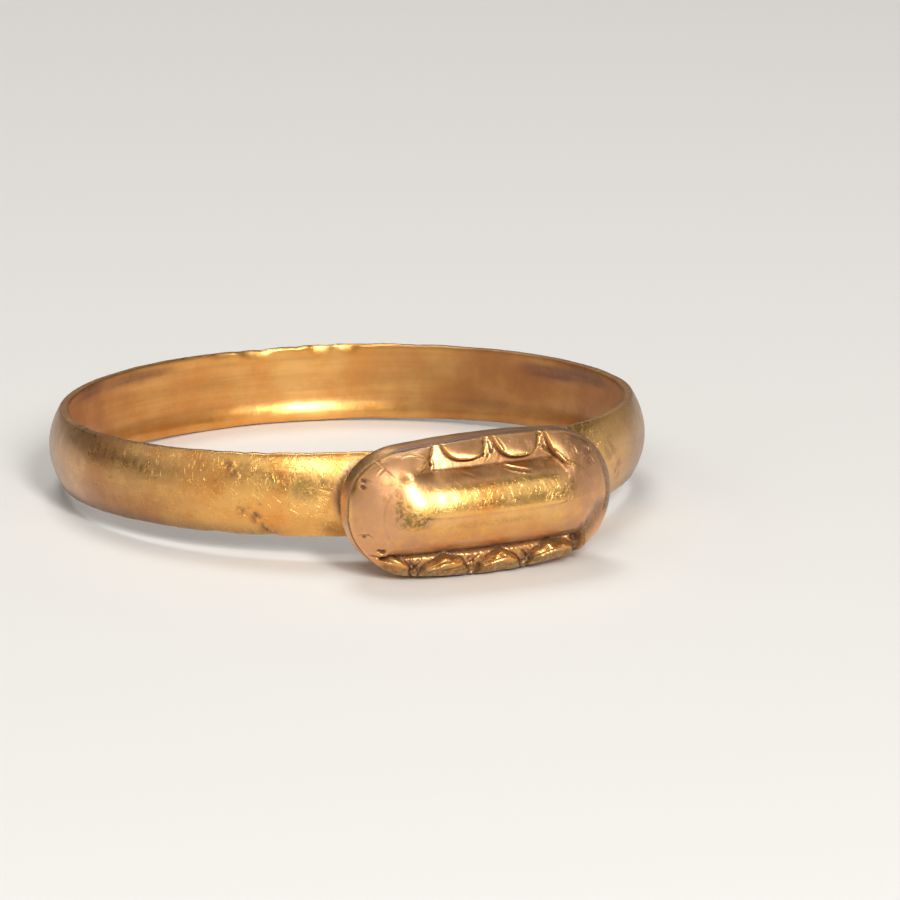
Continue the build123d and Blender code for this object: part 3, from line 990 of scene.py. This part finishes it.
# Painted shade: lower_faces darkens the outer faces of the lower flakes.
near_rim = step(0.79, 0.87, np.abs(bezel_y) / np.maximum(top_rim, 0.05))
lower_faces = lower_side * on_top * beside_loaf * near_rim

# Painted shadow: deep_line darkens the groove along the loaf's lower foot and round the right end.
across_deep_line = from_deep_line(bezel_x, bezel_y) / deep_line_spread(bezel_x)
right_tail = step(2.8, 3.0, bezel_x) * step(-0.05, -0.45, bezel_y)
deep_line = np.exp(-(across_deep_line**4)) * lower_side * np.maximum(beside_loaf, right_tail)

pit_dirt, stroke_line = np.zeros(count), np.zeros(count)
full_pit, full_stroke = 0.06, 0.045
for pit in pits:
    far = np.hypot(bezel_x - pit.x, bezel_y - pit.y) / pit.width
    pit_dirt = np.maximum(pit_dirt, min(1, pit.depth / full_pit) * np.exp(-(far**4)))
for stroke in strokes:
    stroke_line = np.maximum(stroke_line, -stroke_change(stroke, bezel_x, bezel_y) / full_stroke)
channel_share_of_top = float((in_channel * on_top).sum() / on_top.sum())
print("channels take", round(channel_share_of_top, 3), "of the points on the bezel's top")

# %% Painted shade along the rim and at the right end
facing_x_here, facing_y_here, from_outline = outline_near(bezel_x, bezel_y)
from_top_rim = from_outline - sum(top_insets(facing_x_here, facing_y_here, bezel_x))
# Painted shade: a crease along the upper rim, the groove under the rim, the right end's flank and its ledge.
rim_line = step(0.075, 0.045, from_top_rim) * step(0.0, 0.06, bezel_out) * step(0.5, 0.8, facing_y_here)
rim_line = rim_line * step(-3.3, -2.8, bezel_x) * (1 - in_channel)
under_rim = step(0.075, 0.045, bezel_out) * step(-0.13, -0.06, bezel_out)
under_rim = under_rim * ((np.abs(bezel_y) > 0.88 * top_rim) | (np.abs(bezel_x) > 3.4))
at_right_end, from_flank = right_end(bezel_x, bezel_y)
right_flank = at_right_end * step(0.06, 0.0, from_flank) * step(-0.15, 0.0, bezel_out)
right_ledge = patch(bezel_x, bezel_y, middle=(3.06, -1.42), size=(0.24, 0.50))

# %% Dirt and painted shade
# Earth is red-brown and matt. It fills hollows, pits and punch strokes in the chasing. The
# same dark colour is also painted shade: in the crease at each lobe's foot, in the groove
# along the loaf's lower foot, along and under the rim, on the right end's flank and ledge,
# on the lower flakes' outer faces, on the hoop's lower edge on the left, on both of its
# ends and towards both ends of its inside.
# Painted shade: the lobe lines, the deep line, the lower faces, the right ledge, the groove under the rim,
# the right flank and the rim line darken creases and grooves here.
dirt = dirt + on_top * (0.85 * lobe_line + 0.9 * deep_line + 0.25 * in_channel * lower_side
                        + np.clip(stroke_line, 0, 0.9) + 0.40 * lower_faces + pit_dirt + 0.8 * right_ledge)
dirt = dirt + on_the_bezel * (0.9 * under_rim + 0.95 * right_flank + 0.8 * rim_line)
dirt = np.where(inside_face, 0.3 * step(0.004, 0.012, fine_sag), dirt)

# Painted shade: the hoop's lower edge on the left and both of its ends are darkened.
painted_edge_shade = 0.80 * step(0.80, 1.22, -height) * stretch_of(-angle, (25, 40), (120, 150))
painted_end_shade = np.maximum(0.55 * stretch_of(np.abs(angle), (84, 108), (108, 165)),
                       0.70 * stretch_of(angle, (32, 56), (64, 120)))
dirt = np.clip(dirt + outside * (painted_edge_shade + painted_end_shade), 0, 1)
dirt = np.maximum(dirt, 2 * on_top * pit_dirt)
# Painted shade: the inside of the hoop darkens towards both of its ends.
dirt = dirt + 0.25 * inside_face * step(30, 80, np.abs(from_back))
tell_means("dirt", dirt)

# %% Film
# The film is dull and pinkish. It is worn off the loaf's crest, thinner in the chasing and
# on the lower flakes, half gone on the hoop beside the bezel and almost absent inside.
crest = np.exp(-(((bezel_y - 0.35) / 0.50) ** 2)) * stretch_of(bezel_x, (-3.5, -2.2), (0.8, 3.2))
chasing = step(0.86, 1.10, np.abs(bezel_y)) * stretch_of(bezel_x, (-3.5, -2.9), (2.9, 3.5))
film_on_bezel = 1 - 0.9 * crest - 0.20 * chasing * (1 - 0.8 * lobe_top_share)
film_on_bezel = np.clip(film_on_bezel - 0.80 * lobe_top_share * lower_side * on_top, 0, 1)
film_on_hoop = 0.50 + 0.50 * step(36, 70, np.abs(angle))
film_inside = 0.15
film = np.where(on_the_bezel, film_on_bezel, np.where(inside_face, film_inside, film_on_hoop))
tell_means("film", film)

# %% Olive tarnish, painted reflection and painted shade
hoop_olive = outside * patch(angle, height, middle=(-28.6, 0.32), size=(2.6, 0.40))
# Painted reflection and shade: on the bezel the olive colour is a dark reflection, in an L-shaped patch near
# the loaf's left end and a thin stripe along its lower side, and shade on the lower flakes' outer faces.
bezel_painted_reflection_and_shade = (1.3 * patch(bezel_x, bezel_y, middle=(-2.62, -0.05), size=(0.52, 0.30))
               + 1.04 * patch(bezel_x, bezel_y, middle=(-3.02, 0.35), size=(0.14, 0.50))
               + 0.35 * patch(bezel_x, bezel_y, middle=(-0.3, -0.36), size=(1.8, 0.12)) + 0.90 * lower_faces)
olive = np.where(on_the_bezel, np.clip(bezel_painted_reflection_and_shade, 0, 1), hoop_olive)
tell_means("olive", olive)

# %% Red-brown stains
# On the hoop a stain has its angle and its length along in degrees, the rest is in mm.
Stain = namedtuple("Stain", "angle height along across strength")
outer_stains = [
    Stain(-43.0, 0.82, 2.6, 0.26, 0.9), Stain(-38.6, 0.90, 2.0, 0.20, 0.6),
    Stain(-45.6, 0.28, 1.2, 0.22, 0.6), Stain(-40.6, -0.43, 1.6, 0.22, 0.7),
    Stain(-38.2, -0.70, 1.2, 0.22, 0.8), Stain(-36.0, -1.10, 1.6, 0.20, 0.9),
    Stain(-34.0, 0.70, 1.6, 0.20, 0.5), Stain(-24.5, -0.95, 1.6, 0.22, 0.5),
    Stain(-49.0, 0.90, 1.6, 0.18, 0.4), Stain(39.0, 0.30, 2.4, 0.50, 0.6),
    Stain(42.0, -0.40, 2.0, 0.35, 0.7), Stain(36.0, -0.10, 1.4, 0.30, 0.5),
    Stain(60.0, 0.00, 3.0, 0.30, 0.3), Stain(104.0, -0.30, 3.0, 0.30, 0.4),
    Stain(-118.0, 0.20, 3.5, 0.30, 0.4),
]
inner_stains = [
    Stain(-131.0, 1.06, 8.0, 0.28, 1.0), Stain(-150.0, 0.98, 11.0, 0.20, 0.9),
    Stain(110.0, 0.72, 9.0, 0.24, 0.9), Stain(97.0, 0.90, 9.0, 0.28, 0.9),
    Stain(168.0, -0.10, 14.0, 0.10, 0.35), Stain(128.0, -0.50, 6.0, 0.30, 0.3),
]
BezelStain = namedtuple("BezelStain", "x y along across strength")
bezel_stains = [
    BezelStain(3.36, 1.14, 0.18, 0.26, 0.55), BezelStain(1.97, 1.50, 0.10, 0.12, 0.50),
    BezelStain(0.16, 1.62, 0.14, 0.16, 0.40), BezelStain(-2.40, -1.66, 0.24, 0.24, 0.90),
    BezelStain(-0.58, -1.66, 0.20, 0.24, 0.80), BezelStain(1.22, -1.74, 0.22, 0.24, 0.90),
    BezelStain(-1.50, -1.50, 0.50, 0.10, 0.45), BezelStain(0.40, -1.46, 0.50, 0.10, 0.45),
    BezelStain(2.20, -1.50, 0.60, 0.12, 0.55), BezelStain(-1.00, 1.12, 0.30, 0.05, 0.35),
]

stain = np.zeros(count)
for spot in outer_stains:
    here = patch(angle, height, (spot.angle, spot.height), (spot.along, spot.across))
    stain = np.maximum(stain, spot.strength * here * outside)
for spot in inner_stains:
    here = patch(turn_between(angle, spot.angle), height, (0, spot.height), (spot.along, spot.across))
    stain = np.maximum(stain, spot.strength * here * inside_face)
    dirt = dirt + 0.6 * spot.strength * here * inside_face
for spot in bezel_stains:
    here = patch(bezel_x, bezel_y, (spot.x, spot.y), (spot.along, spot.across))
    stain = np.maximum(stain, spot.strength * here * on_top)
seam_stain = np.exp(-((seam_distance(angle, height) / 0.10) ** 2))
stain = np.maximum(stain, 0.8 * seam_stain * outside)
print(len(outer_stains) + len(inner_stains) + len(bezel_stains), "stains")

# %% Tarnish and painted shade
# On the hoop this brown is painted shade. It deepens round the hoop away from the bezel and
# towards its lower edge, and inside the hoop towards both ends. On the bezel it is painted
# shade on the upper wall, which also gets some of the earth's colour, and in the upper
# trough except in its first channel, and plain browning on top of the lobe beside that.
hoop_painted_shade = step(34, 72, np.abs(angle)) * (0.55 + 0.45 * step(-0.5, 0.7, -height))
inside_painted_shade = step(12, 56, np.abs(from_back))
painted_wall_shade = np.maximum(step(-0.02, -0.08, bezel_out), step(0.03, 0.0, from_top_rim))
painted_wall_shade = 0.95 * painted_wall_shade * step(-3.0, -2.5, bezel_x) * step(-0.3, 0.6, bezel_y)
dirt = np.clip(dirt + 0.40 * painted_wall_shade * on_the_bezel, 0, 2)

in_trough = step(0.88, 1.05, bezel_y) * step(1.90, 1.60, bezel_y) * (1 - lobe_top_share) * on_top
in_trough = in_trough * step(-1.7, -1.2, bezel_x) * step(2.9, 2.4, bezel_x)
first_channel = patch(bezel_x, bezel_y, middle=(-1.35, 1.45), size=(0.55, 0.32))
lobe_browning = patch(bezel_x, bezel_y, middle=(-0.65, 1.95), size=(0.75, 0.42)) * lobe_top_share * on_top
bezel_tarnish_and_shade = np.maximum(painted_wall_shade, 0.65 * in_trough * (1 - 0.8 * first_channel))
bezel_tarnish_and_shade = np.maximum(bezel_tarnish_and_shade, 0.55 * lobe_browning)
tarnish = np.where(outside, hoop_painted_shade, np.where(inside_face, inside_painted_shade, bezel_tarnish_and_shade))
tell_means("tarnish", tarnish)

# %% Scratches and a flat skin
# Scratches are deep on the hoop, shallow on the bezel's polished top and faint inside. The
# skin is the ring's surface laid flat, in mm, so that thin scratches keep their direction.
scratched = np.where(on_the_bezel, 0.30 + 0.35 * step(1.0, 2.5, bezel_x), np.where(inside_face, 0.12, 1.0))
around_mm = np.radians(np.abs(from_back)) * crown_radius
depth_mm = radius + 0.8 * np.sin(np.radians(angle))
skin = np.where(on_the_bezel[:, None], np.stack([bezel_x, bezel_y, bezel_out], 1),
                np.stack([around_mm, height, depth_mm], 1))


def keep_on_points(name, values):
    """Keep one number or one vector per point, where the shader can read it."""
    is_vector = values.ndim == 2
    kept = mesh.attributes.new(name, "FLOAT_VECTOR" if is_vector else "FLOAT", "POINT")
    kept.data.foreach_set("vector" if is_vector else "value", values.astype(np.float32).ravel())


kept_marks = {"film": film, "dirt": dirt, "olive": olive, "rubbed": rubbed, "stain": stain, "skin": skin,
              "inside": inside_face.astype(float), "tarnish": tarnish, "scratched": scratched}
for name, values in kept_marks.items():
    keep_on_points(name, values)
print("kept on the points:", ", ".join(kept_marks))

# %% Lay the mesh on the table
sharper_than = 50
mesh.transform(ring_to_table)
mesh.polygons.foreach_set("use_smooth", np.ones(len(mesh.polygons), dtype=bool))
mesh.set_sharp_from_angle(angle=radians(sharper_than))
mesh.update()

# %% [markdown]
# High-carat gold is soft and deep yellow. Polished by wear it mirrors the lights with a
# soft edge. A burial film dulls it to a pinkish brown, and hollows hold red-brown earth.
# Some of the brown, olive and dark colours are painted shade and painted dark reflections.
# It could be several materials on parts of the mesh, but their borders would be hard, and
# on the real ring one finish fades into the next. So all of it is one metal shader. Its
# colour, roughness, metalness and bump are mixed from the numbers on the points, broken up
# by noise at sizes measured on the real surface. A metal keeps the default IOR. A thin
# clear coat stands for the trace of wax or oil on a handled piece: it adds a small whiter
# gleam to the middle of each highlight.

# %% Small tools for finishes
gold = bpy.data.materials.new("worn_high_carat_gold")
gold.use_nodes = True
tree = gold.node_tree
tree.nodes.clear()


def srgb(hex_colour):
    """A linear colour from an sRGB hex value."""
    parts = [int(hex_colour[k:k + 2], 16) / 255 for k in (1, 3, 5)]
    linear = [c / 12.92 if c <= 0.04045 else ((c + 0.055) / 1.055) ** 2.4 for c in parts]
    return (*linear, 1.0)


def add(kind, inputs=(), out=0, **settings):
    """Add a node with its settings, set or link its inputs, and give one of its outputs."""
    node = tree.nodes.new("ShaderNode" + kind)
    for name, value in settings.items():
        setattr(node, name, value)
    for socket, value in inputs.items() if isinstance(inputs, dict) else enumerate(inputs):
        if isinstance(value, bpy.types.NodeSocket):
            tree.links.new(value, node.inputs[socket])
        else:
            node.inputs[socket].default_value = value
    return node.outputs[out] if node.outputs else node


# %% Patterns with a size in millimetres
place = add("TexCoord", out="Object")
skin_place = add("Attribute", out="Vector", attribute_name="skin")


def grain_of(size, detail, roughness=0.55, seed=0.0):
    """Even grain of a size in mm, through the whole ring, whose places are in metres."""
    where = add("Mapping", {"Vector": place, "Location": (seed, seed, seed)})
    pattern = {"Vector": where, "Scale": 1 / (size * MM), "Detail": detail, "Roughness": roughness}
    return add("TexNoise", pattern, normalize=True)


def lines_of(width, stretch, detail=2.0, roughness=0.55, lean=0.0, seed=0.0):
    """Thin lines on the flat skin, whose places are in mm: their width and how drawn out they are."""
    leaning = {"Vector": skin_place, "Rotation": (0, 0, radians(lean)), "Location": (seed, 0, 0)}
    where = add("VectorMath", (add("Mapping", leaning), (1 / stretch, 1, 0.2)), operation="MULTIPLY")
    pattern = {"Vector": where, "Scale": 1 / width, "Detail": detail, "Roughness": roughness}
    return add("TexNoise", pattern, normalize=True)


# Alloy and wear change over a millimetre or two, and film in blotches of a third of one.
# Real grains of earth are some hundredths of a millimetre: they are drawn coarser to show.
cloudy = grain_of(1.6, detail=4)
blotchy = grain_of(0.35, detail=5, roughness=0.6, seed=3.1)
mottled = grain_of(0.13, detail=5, roughness=0.7, seed=13.0)
grainy = grain_of(0.07, detail=3, roughness=0.7, seed=7.7)
streaky = lines_of(0.22, stretch=26, detail=4, roughness=0.6, seed=11.0)

# %% Marks, broken up by the patterns
# A mark grows from its least share to its most as the pattern goes from low to high. The
# film is blotchy, tarnish and its painted shade lie in clouds, olive and its painted
# reflection and shade are mottled, and earth and its painted shade are grainy. Inside the
# hoop, burnishing left long soft streaks.
number = {name: add("Attribute", out="Fac", attribute_name=name) for name in kept_marks if name != "skin"}
BrokenMark = namedtuple("BrokenMark", "name mark pattern low high least most")
broken_marks = [
    BrokenMark("film", "film", blotchy, 0.25, 0.62, 0.55, 1.0),
    BrokenMark("tarnish", "tarnish", cloudy, 0.25, 0.65, 0.55, 0.85),
    BrokenMark("olive", "olive", mottled, 0.40, 0.58, 0.30, 1.0),
    BrokenMark("dirt", "dirt", grainy, 0.25, 0.65, 0.50, 1.0),
    BrokenMark("streaks", "inside", streaky, 0.35, 0.70, 0.0, 0.28),
]
share = {}
for one in broken_marks:
    broken = add("MapRange", one[2:], interpolation_type="SMOOTHSTEP")
    share[one.name] = add("Math", (number[one.mark], broken), operation="MULTIPLY", use_clamp=True)

# Rubbing takes the film off the edges. Stains are blotchy outside and soft smears inside.
film_rubbed_off, inside_smear = 0.6, 0.75
share["film"] = add("Math", (number["rubbed"], -film_rubbed_off, share["film"]), operation="MULTIPLY_ADD",
                    use_clamp=True)
blotched = add("MapRange", (blotchy, 0.40, 0.58), interpolation_type="SMOOTHSTEP")
smeared = add("Math", (number["inside"], inside_smear), operation="MULTIPLY")
stain_breaks = add("Math", (blotched, smeared), operation="MAXIMUM")
share["stain"] = add("Math", (number["stain"], stain_breaks), operation="MULTIPLY")
share["copper"] = add("MapRange", (cloudy, 0.35, 0.70), interpolation_type="SMOOTHSTEP")
print("finishes to mix:", ", ".join(share))

# %% Colours of the gold
# Polished gold is deep yellow, and redder where the alloy holds more copper. Over it lie
# pale pinkish film, brown tarnish and painted shade, olive spots and painted dark reflection
# and shade, red-brown stains, dark earth and painted shade, and inside the hoop the
# streaks. Each coat covers what is below it by its share times its strength.
polished_colour = "#F6BE6A"
Coat = namedtuple("Coat", "name strength colour")
coats = [
    Coat("copper", 1.0, "#EBA24C"), Coat("film", 1.0, "#D79E70"), Coat("tarnish", 1.0, "#96602F"),
    Coat("olive", 0.80, "#5C5224"), Coat("stain", 0.80, "#74351F"), Coat("dirt", 0.85, "#3E2010"),
    Coat("streaks", 1.0, "#B06F30"),
]
colour = srgb(polished_colour)
for coat in coats:
    covered = add("Math", (share[coat.name], coat.strength), operation="MULTIPLY")
    colour = add("Mix", {0: covered, 6: colour, 7: srgb(coat.colour)}, out=2, data_type="RGBA")

# %% Scratches
# Real scratches are under 0.02 mm wide and would not show, so these are drawn at 0.04 mm:
# along the band, across it, askew and steep.
ScratchSet = namedtuple("ScratchSet", "width stretch lean seed start")
scratch_sets = [
    ScratchSet(width=0.045, stretch=14, lean=0, seed=1.0, start=0.60),
    ScratchSet(width=0.040, stretch=10, lean=78, seed=2.0, start=0.60),
    ScratchSet(width=0.045, stretch=16, lean=35, seed=4.0, start=0.62),
    ScratchSet(width=0.038, stretch=9, lean=-58, seed=6.0, start=0.60),
]
full_scratch = 0.72
scratches = 0.0
for one in scratch_sets:
    drawn = lines_of(one.width, one.stretch, lean=one.lean, seed=one.seed)
    thin = add("MapRange", (drawn, one.start, full_scratch), interpolation_type="SMOOTHSTEP")
    scratches = add("Math", (scratches, thin), operation="ADD", use_clamp=True)
scratches = add("Math", (scratches, number["scratched"]), operation="MULTIPLY")
print(len(scratch_sets), "sets of scratches")

# %% Roughness, metalness and bumps
# Metal polished by wear is fairly smooth, about 0.27, and film is duller, about 0.43. The
# inside of the hoop, scratches, olive spots and earth, with the painted shade mixed into
# them, each add to that. Earth and that painted shade are no metal.
polished_roughness, film_roughness = 0.27, 0.43
rough = add("MapRange", (share["film"], 0, 1, polished_roughness, film_roughness),
            interpolation_type="SMOOTHSTEP")
uneven = add("MapRange", (blotchy, 0.3, 0.7, -0.02, 0.03), interpolation_type="SMOOTHSTEP")
rough = add("Math", (rough, uneven), operation="ADD")
matt_share = add("Math", (share["dirt"], share["olive"]), operation="MAXIMUM")
for duller, amount in ((number["inside"], 0.10), (scratches, 0.06), (matt_share, 0.25)):
    rough = add("Math", (duller, amount, rough), operation="MULTIPLY_ADD", use_clamp=True)
metal_lost_to_dirt_and_shade = 0.80
metal = add("Math", (share["dirt"], -metal_lost_to_dirt_and_shade, 1.0), operation="MULTIPLY_ADD", use_clamp=True)

# Bumps have their depth in mm: soft hammer work, rubbing across the band, grain, scratches.
hammered = grain_of(0.30, detail=2, seed=5.0)
rubbing = lines_of(0.11, stretch=3.5, detail=3, roughness=0.6, lean=-62, seed=9.0)
bumps = add("Bump", {"Height": hammered, "Distance": 0.0060 * MM, "Strength": 1.0})
for pattern, depth, cut_in in ((rubbing, 0.0055, False), (grainy, 0.0012, False), (scratches, 0.0052, True)):
    bump = {"Height": pattern, "Distance": depth * MM, "Strength": 1.0, "Normal": bumps}
    bumps = add("Bump", bump, invert=cut_in)

# %% The finished gold
shader = add("BsdfPrincipled", {
    "Base Color": colour, "Metallic": metal, "Roughness": rough, "Normal": bumps,
    "Coat Weight": 0.55, "Coat Roughness": 0.29})
add("OutputMaterial", {"Surface": shader})
mesh.materials.clear()
mesh.materials.append(gold)
mesh.polygons.foreach_set("material_index", np.zeros(len(mesh.polygons), dtype=np.int32))
print("gold:", len(tree.nodes), "nodes")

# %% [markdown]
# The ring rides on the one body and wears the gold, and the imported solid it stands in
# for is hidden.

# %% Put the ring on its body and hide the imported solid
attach(ring, "root")
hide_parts("finger_ring")

# %% [markdown]
# Metal shows what is around it, so the studio is half of its look. A pale matt table gives
# the warm half-tones below. A narrow softbox in front gives the bezel's highlight and a
# weak one beside it lifts the right flank. One on the left lights the hoop's shoulder, and
# one high behind shines on the inside of the hoop. Large dim panels above and at the sides
# keep the rest from going black. The world is dim, which is what gives gold its depth. An
# even, bright sky would be simpler, but it makes polished metal look flat. The Standard
# view keeps the colours as they are given.

# %% Table
table_size = 0.9
around_table = ((-0.5, -0.5), (0.5, -0.5), (0.5, 0.5), (-0.5, 0.5))
table_corners = [(x * table_size, y * table_size, 0) for x, y in around_table]
table_mesh = bpy.data.meshes.new("pale_table")
table_mesh.from_pydata(table_corners, [], [(0, 1, 2, 3)])
table = bpy.data.objects.new("pale_table", table_mesh)
bpy.context.collection.objects.link(table)
matt = bpy.data.materials.new("pale_matt_paint")
matt.use_nodes = True
paint = matt.node_tree.nodes["Principled BSDF"]
paint.inputs["Base Color"].default_value = srgb("#E2DFD9")
paint.inputs["Roughness"].default_value = 0.75
table_mesh.materials.append(matt)
print("table", table_size, "m across")

# %% Softboxes and surroundings
# Angles are in degrees round the ring, lengths in metres. Radiance is how bright a softbox
# is to look at.
Softbox = namedtuple("Softbox", "name azimuth elevation away width tall radiance")
softboxes = [
    Softbox("front_softbox", -3, 30, 0.35, 0.062, 0.14, 40.0),
    Softbox("front_side_softbox", 32, 30, 0.35, 0.11, 0.13, 0.8),
    Softbox("left_softbox", -36, 44, 0.40, 0.11, 0.14, 6.0),
    Softbox("back_softbox", 170, 62, 0.40, 0.16, 0.16, 6.6),
    Softbox("top_panel", 20, 78, 0.50, 0.40, 0.35, 0.36),
    Softbox("left_high_panel", -98, 40, 0.50, 0.60, 0.34, 0.60),
    Softbox("left_panel", -70, 8, 0.60, 0.60, 0.25, 0.5),
    Softbox("right_panel", 85, 8, 0.60, 0.50, 0.25, 0.35),
]
for box in softboxes:
    lamp = bpy.data.lights.new(box.name, "AREA")
    lamp.shape, lamp.size, lamp.size_y = "RECTANGLE", box.width, box.tall
    lamp.energy = box.radiance * pi * box.width * box.tall
    stand = bpy.data.objects.new(box.name, lamp)
    heading = direction(box.azimuth, box.elevation)
    stand.location = heading * box.away
    stand.rotation_euler = heading.to_track_quat("Z", "Y").to_euler()
    bpy.context.collection.objects.link(stand)

world = bpy.data.worlds.new("dim_studio")
world.use_nodes = True
sky = world.node_tree.nodes["Background"]
sky.inputs["Color"].default_value = srgb("#FFFFFF")
sky.inputs["Strength"].default_value = 0.12
bpy.context.scene.world = world
bpy.context.scene.view_settings.view_transform = "Standard"
print(len(softboxes), "softboxes and panels")
